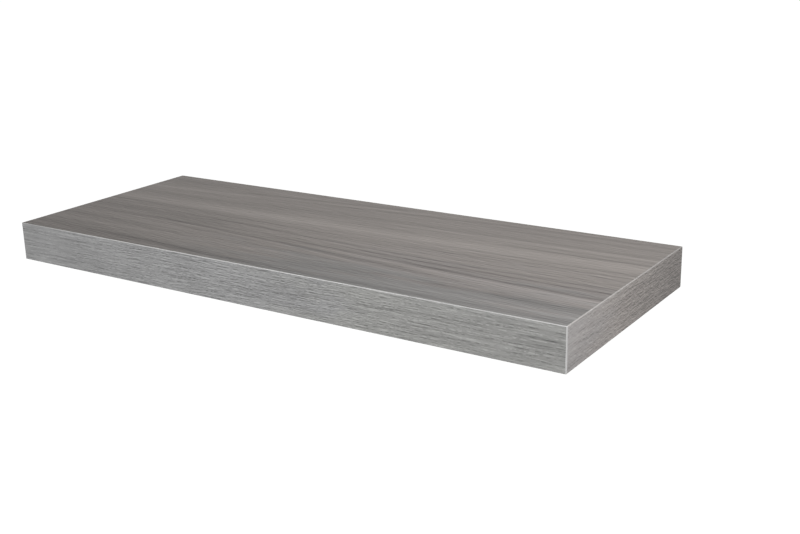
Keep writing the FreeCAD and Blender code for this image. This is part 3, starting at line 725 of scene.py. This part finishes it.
def insert_brass():
    """Turned brass: fine rings from the lathe, and brown tarnish in patches."""
    s = material_shader("insert_brass")
    place = s.place()
    x, y, z = place
    reach = s.calc("SUBTRACT", s.calc("ABSOLUTE", x), INSERT_PLACE[0])
    side = s.calc("SUBTRACT", y, INSERT_PLACE[1])
    square = s.add(s.scale(reach, reach), s.scale(side, side))
    rings = s.noise(s.vector(s.scale(s.calc("SQRT", square), 9000.0), s.scale(z, 6000.0)))
    tarnish = s.lumps(place, (420.0, 420.0, 420.0), detail=3.0, roughness=0.6)
    dull = s.ease(tarnish, 0.02, 0.22)
    colour = s.mix(dull, BRASS_YELLOW, BRASS_BROWN)
    colour = s.tint(colour, s.add(1.0, s.scale(rings, 0.3)))
    rough = s.add(0.26, s.scale(dull, 0.2), s.scale(rings, 0.15))
    return s.finish(colour, rough, s.bump(rings, depth=0.00002), BARE_METAL)


OXIDE_BLACK = (0.035, 0.036, 0.04)
BARE_STEEL = (0.2, 0.2, 0.205)


def blackened_steel():
    """Black oxide on steel, oily and a little worn to bare metal."""
    s = material_shader("blackened_steel")
    mottle = s.lumps(s.place(), (900.0, 900.0, 900.0), detail=4.0, roughness=0.6)
    wear = s.ease(mottle, 0.12, 0.26)
    colour = s.mix(wear, OXIDE_BLACK, BARE_STEEL)
    rough = s.add(0.36, s.scale(mottle, 0.5))
    constants = {"Metallic": 0.6, "Specular IOR Level": 0.5}
    return s.finish(colour, rough, s.bump(mottle, depth=0.00003), constants)


def round_ring(height, radius):
    """A level ring of points, with one radius all round."""
    return [(height, radius)] * RING_STEPS


def hexagon_ring(height, width):
    """A level six-sided ring of points, measured across its flats."""
    ring = []
    for step in range(RING_STEPS):
        from_flat = (step * 2 * math.pi / RING_STEPS) % (math.pi / 3) - math.pi / 6
        ring.append((height, width / 2 / math.cos(from_flat)))
    return ring


def thread_rings(low, high, radius, depth, pitch, towards):
    """Rings of a helical thread that runs out at both ends.

    The thread is cut inwards where towards is -1, and outwards where it is 1.
    """
    count = round((high - low) / pitch * THREAD_RINGS_PER_TURN)
    rings = []
    for number in range(count + 1):
        height = low + (high - low) * number / count
        to_end = min(height - low, high - height)
        cut = depth * min(1.0, to_end / pitch)
        ring = []
        for step in range(RING_STEPS):
            turn = (height / pitch - step / RING_STEPS) % 1.0
            valley = min(1.0, THREAD_STEEPNESS * (1.0 - abs(2.0 * turn - 1.0)))
            ring.append((height, radius + towards * cut * valley))
        rings.append(ring)
    return rings


def turned_mesh(name, rings, closed):
    """Faces between rings.

    A closed mesh joins its last ring to its first, and an open one has a fan at each end.
    """
    points = []
    for ring in rings:
        for step, (height, radius) in enumerate(ring):
            angle = step * 2 * math.pi / RING_STEPS
            points.append((radius * math.cos(angle), radius * math.sin(angle), height))
    faces = []
    last = len(rings) if closed else len(rings) - 1
    for number in range(last):
        first = number * RING_STEPS
        second = (number + 1) % len(rings) * RING_STEPS
        for step in range(RING_STEPS):
            after = (step + 1) % RING_STEPS
            faces.append((first + step, first + after, second + after, second + step))
    if not closed:
        for ring_number in (0, len(rings) - 1):
            middle = len(points)
            points.append((0.0, 0.0, rings[ring_number][0][0]))
            start = ring_number * RING_STEPS
            for step in range(RING_STEPS):
                after = (step + 1) % RING_STEPS
                fan = (middle, start + after, start + step)
                faces.append(fan if ring_number == 0 else fan[::-1])
    mesh = bpy.data.meshes.new(name)
    mesh.from_pydata(points, [], faces)
    mesh.validate()
    return mesh


# Faces that meet at more than this keep a hard edge between them
SHARP_ANGLE = math.radians(40)


def place_piece(name, mesh, material, place, node, body):
    """A new piece that stands for a CAD node and rides on its body."""
    mesh.transform(Matrix.Translation(place))
    mesh.polygons.foreach_set("use_smooth", [True] * len(mesh.polygons))
    mesh.set_sharp_from_angle(angle=SHARP_ANGLE)
    mesh.materials.append(material)
    piece = bpy.data.objects.new(name, mesh)
    bpy.context.scene.collection.objects.link(piece)
    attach(piece, body)
    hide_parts(node)


def insert_mesh(name):
    """A flanged brass insert: a coarse wood thread outside and a fine one in its bore."""
    low, high = INSERT_LOW[2], INSERT_HIGH[2]
    flange_radius = (INSERT_HIGH[0] - INSERT_LOW[0]) / 2
    flange_top = low + INSERT_FLANGE_THICKNESS
    barrel = INSERT_BARREL_RADIUS
    bore = INSERT_BORE_RADIUS
    rings = [
        round_ring(low, flange_radius - INSERT_EDGE),
        round_ring(low + INSERT_EDGE, flange_radius),
        round_ring(flange_top, flange_radius),
        round_ring(flange_top, barrel),
    ]
    outside = (flange_top + INSERT_EDGE, high - INSERT_EDGE, barrel)
    rings += thread_rings(*outside, WOOD_THREAD_DEPTH, WOOD_THREAD_PITCH, -1)
    rings += [
        round_ring(high, barrel - INSERT_EDGE),
        round_ring(high, bore + INSERT_EDGE),
    ]
    inside = (low + INSERT_EDGE, high - INSERT_EDGE, bore)
    rings += thread_rings(*inside, THREAD_DEPTH, THREAD_PITCH, 1)[::-1]
    rings.append(round_ring(low, bore + INSERT_EDGE))
    return turned_mesh(name, rings, closed=True)


def screw_mesh(name):
    """A threaded grub screw with a hexagon socket in its foot and a cup point."""
    low, high = SCREW_LOW[2], SCREW_HIGH[2]
    socket_top = low + SOCKET_DEPTH
    edge = SCREW_RADIUS - SCREW_BEVEL
    rings = [
        hexagon_ring(socket_top, SOCKET_WIDTH),
        hexagon_ring(low, SOCKET_WIDTH),
        round_ring(low, edge),
    ]
    body = (low + SCREW_BEVEL, high - SCREW_BEVEL, SCREW_RADIUS)
    rings += thread_rings(*body, THREAD_DEPTH, THREAD_PITCH, -1)
    rings += [
        round_ring(high, edge),
        round_ring(high, CUP_RADIUS),
        round_ring(high - CUP_DEPTH, CUP_RADIUS * CUP_FLOOR_SHARE),
    ]
    return turned_mesh(name, rings, closed=False)


def make_fasteners():
    """Both threaded inserts and both locking screws."""
    brass = insert_brass()
    black = blackened_steel()
    for side, sign in (("left", -1), ("right", 1)):
        place = Vector((sign * INSERT_PLACE[0], INSERT_PLACE[1], 0.0))
        name = f"{side}_brass_insert"
        node = f"{side}_threaded_insert"
        place_piece(name, insert_mesh(name), brass, place, node, "board")
        name = f"{side}_grub_screw"
        node = f"{side}_locking_screw"
        place_piece(
            name, screw_mesh(name), black, place, node, f"{side}_screw"
        )


def dress_frame():
    """Materials for every CAD node that stays."""
    dress(decor_laminate("decor_top"), "top_laminate")
    dress(decor_laminate("decor_underside", mirrored=True), "bottom_laminate")
    dress(decor_band("decor_front_band", front_band_look), "front_edge_band")
    dress(decor_band("decor_end_band", end_band_look), "left_edge_band", "right_edge_band")
    dress(fibreboard(), "top_skin", "bottom_skin")
    rails = ("front_rail", "rear_rail", "centre_rail", "left_rail", "right_rail")
    dress(chipboard(), *rails, "left_rod_block", "right_rod_block")
    cores = ("left_outer_core", "left_inner_core", "right_inner_core", "right_outer_core")
    dress(honeycomb_paper(), *cores)
    dress(staple_wire(), "frame_staples")
    dress(zinc_plated_steel("zinc_plate", across_axis="Z"), "wall_plate")
    rods = ("left_support_rod", "right_support_rod")
    dress(zinc_plated_steel("zinc_rod", across_axis="X"), *rods)


def set_camera():
    """The photograph's view, with the small shift of its cropped frame."""
    data = bpy.data.cameras.new("camera")
    data.sensor_width = SENSOR_WIDTH_MM
    data.lens = FOCAL_PIXELS * SENSOR_WIDTH_MM / IMAGE_WIDTH
    centre_x, centre_y = OPTICAL_CENTRE_PIXELS
    data.shift_x = (IMAGE_WIDTH / 2 - centre_x) / IMAGE_WIDTH
    data.shift_y = (centre_y - IMAGE_HEIGHT / 2) / IMAGE_WIDTH
    camera = bpy.data.objects.new("camera", data)
    flat = math.cos(CAMERA_ELEVATION)
    gaze = Vector((
        -math.sin(CAMERA_AZIMUTH) * flat,
        math.cos(CAMERA_AZIMUTH) * flat,
        -math.sin(CAMERA_ELEVATION),
    ))
    upright = gaze.to_track_quat("-Z", "Y")
    camera.rotation_mode = "QUATERNION"
    camera.rotation_quaternion = upright @ Quaternion((0, 0, 1), -CAMERA_ROLL)
    camera.location = CAMERA_PLACE
    bpy.context.scene.collection.objects.link(camera)
    bpy.context.scene.camera = camera


def seen_directly(shader):
    """One for camera, mirror and see-through rays, and zero for rays that light things."""
    path = shader.node("ShaderNodeLightPath").outputs
    shown = shader.calc("MAXIMUM", path["Is Camera Ray"], path["Is Glossy Ray"])
    return shader.calc("MAXIMUM", shown, path["Is Transmission Ray"])


# The floor lies well below the shelf, which hangs on a wall
FLOOR_HEIGHT = -1.8
FLOOR_HALF_WIDTH = 60.0
FLOOR_COLOUR = (0.9, 0.9, 0.9)
FLOOR_GLOW = 0.75


def set_floor():
    """A wide pale floor that the camera and reflections see as white."""
    mesh = bpy.data.meshes.new("floor")
    reach = FLOOR_HALF_WIDTH
    corners = [(-reach, -reach, 0), (reach, -reach, 0), (reach, reach, 0), (-reach, reach, 0)]
    mesh.from_pydata(corners, [], [(0, 1, 2, 3)])
    floor = bpy.data.objects.new("floor", mesh)
    floor.location.z = FLOOR_HEIGHT
    bpy.context.scene.collection.objects.link(floor)
    s = material_shader("floor")
    base = s.node("ShaderNodeBsdfDiffuse", {"Color": FLOOR_COLOUR}).outputs[0]
    glow = s.node("ShaderNodeEmission", {"Strength": FLOOR_GLOW}).outputs[0]
    both = s.node("ShaderNodeAddShader", {0: base, 1: glow}).outputs[0]
    choice = s.node("ShaderNodeMixShader", {0: seen_directly(s), 1: base, 2: both})
    mesh.materials.append(s.show(choice.outputs[0]))


WHITE = (1.0, 1.0, 1.0)

# The world's strength for rays that light things, beside one for rays that see it
WORLD_LIGHT = 0.32


def set_world():
    """Even light from all round, and a white backdrop."""
    world = bpy.data.worlds.new("world")
    bpy.context.scene.world = world
    s = Shader(world, "ShaderNodeOutputWorld")
    strength = s.ease(seen_directly(s), 0.0, 1.0, WORLD_LIGHT, 1.0)
    background = s.node("ShaderNodeBackground", {"Color": WHITE, "Strength": strength})
    s.show(background.outputs[0])


class Lamp(NamedTuple):
    """A soft square lamp that faces the shelf."""

    name: str
    place: tuple
    size: float
    watts: float


LAMPS = (
    Lamp("front_lamp", (-0.5, -1.8, 0.8), 0.8, 17.2),
    Lamp("top_lamp", (0.6, -0.4, 0.8), 0.4, 4.6),
    Lamp("right_lamp", (0.62, -0.5, 0.25), 0.2, 1.5),
    Lamp("back_lamp", (-0.4, 1.8, -0.45), 0.8, 14.0),
)
LAMP_AIM = Vector((0.1, -0.15, 0.0))


def add_lamp(lamp):
    """Add one lamp. Bright metal shows the white backdrop, and not the lamp itself."""
    data = bpy.data.lights.new(lamp.name, "AREA")
    data.size = lamp.size
    data.energy = lamp.watts
    made = bpy.data.objects.new(lamp.name, data)
    made.location = lamp.place
    made.rotation_mode = "QUATERNION"
    made.rotation_quaternion = (LAMP_AIM - Vector(lamp.place)).to_track_quat("-Z", "Y")
    made.visible_camera = False
    made.visible_glossy = False
    bpy.context.scene.collection.objects.link(made)


dress_frame()
make_fasteners()
set_camera()
set_floor()
set_world()
for each_lamp in LAMPS:
    add_lamp(each_lamp)

bpy.context.scene.view_settings.view_transform = "Standard"
